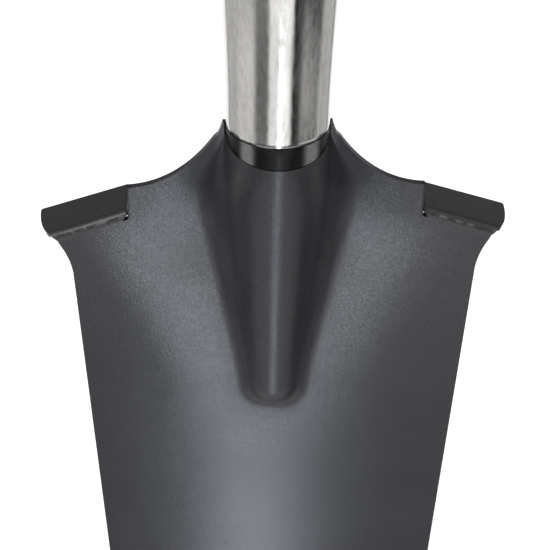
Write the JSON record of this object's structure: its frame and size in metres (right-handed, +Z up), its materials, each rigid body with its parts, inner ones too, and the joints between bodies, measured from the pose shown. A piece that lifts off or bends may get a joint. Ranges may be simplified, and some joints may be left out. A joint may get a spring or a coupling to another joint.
{
  "type": "detecting shovel",
  "caption": "Short D-handled digging shovel with a pressed steel blade, folded foot treads, welded socket and stainless shaft.",
  "frame": {"origin": "on the shaft's axis, level with the blade's tip", "axes": "+Z up along the shaft, -Y towards the front of the blade, where its socket bulges, +X across the treads"},
  "size_m": [0.161, 0.0556, 0.759],
  "materials": {
    "coated_steel": "satin graphite powder coat with a fine speckle, worn bright along the tread folds",
    "coated_steel_rear": "satin graphite powder coat",
    "coated_weld": "powder-coated weld bead with fine ripples",
    "gloss_black": "glossy black enamel",
    "bare_steel": "turned mild steel, oiled",
    "stainless": "polished stainless with fine lengthwise brushing",
    "plug_plastic": "moulded nylon",
    "handle_plastic": "fine moulded texture",
    "bar_aluminium": "drawn aluminium tube",
    "soft_grip": "matte elastomer with fine ribs",
    "zinc_steel": "zinc-plated steel"
  },
  "bodies": {
    "root": {"blade": "coated_steel", "socket_back": "coated_steel_rear", "socket_weld_left": "coated_weld", "socket_weld_right": "coated_weld", "collar_ring": "gloss_black", "tang": "bare_steel", "shaft_tube": "stainless", "tube_plug": "plug_plastic", "handle_shell_front": "handle_plastic", "handle_shell_rear": "handle_plastic", "grip_bar": "bar_aluminium", "grip_sleeve": "soft_grip", "shell_screw_1": "zinc_steel", "shell_screw_2": "zinc_steel", "shell_screw_3": "zinc_steel", "shell_screw_4": "zinc_steel", "handle_bolt": "zinc_steel", "handle_nut": "zinc_steel", "washer_front": "zinc_steel", "washer_rear": "zinc_steel"}
  },
  "joints": []
}
